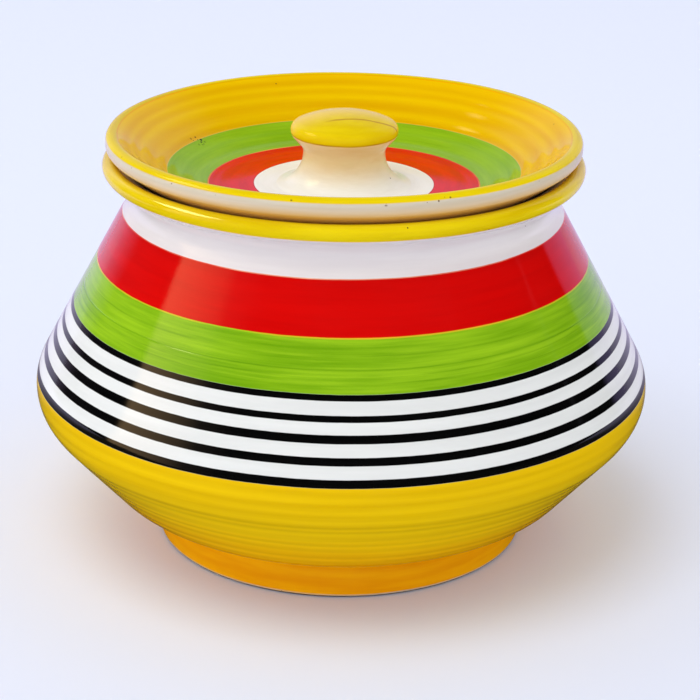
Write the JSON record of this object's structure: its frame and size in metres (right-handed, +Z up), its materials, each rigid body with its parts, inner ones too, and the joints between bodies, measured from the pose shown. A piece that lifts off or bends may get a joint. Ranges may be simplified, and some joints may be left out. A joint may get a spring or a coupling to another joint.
{
  "type": "curd pot",
  "caption": "Round glazed stoneware pot with a keeled belly, foot ring, short neck and rolled lip, closed by a dished lift-off lid with a mushroom knob, for setting and serving curd.",
  "frame": {"origin": "centre of the standing face of the foot ring", "axes": "+Z up along the pot's turning axis, towards the knob; +X and +Y are any two square directions, with the picture looking along +Y"},
  "size_m": [0.165, 0.165, 0.1164],
  "materials": {
    "pot_glaze": "gloss yellow glaze with painted red, green and black bands over white",
    "foot_glaze": "gloss amber glaze, bare clay on the standing face",
    "lid_glaze": "gloss yellow glaze with painted green and red rings, white floor and white underside",
    "knob_glaze": "gloss yellow glaze on the cap, cream on the stem"
  },
  "bodies": {
    "pot": {"pot_body": "pot_glaze", "foot_ring": "foot_glaze"},
    "lid": {"lid_dish": "lid_glaze", "lid_knob": "knob_glaze"}
  },
  "joints": [
    {"name": "lid_lift", "type": "slide", "parent": "pot", "child": "lid", "axis": [0, 0, 1], "range_m": [0, 0.08]}
  ]
}
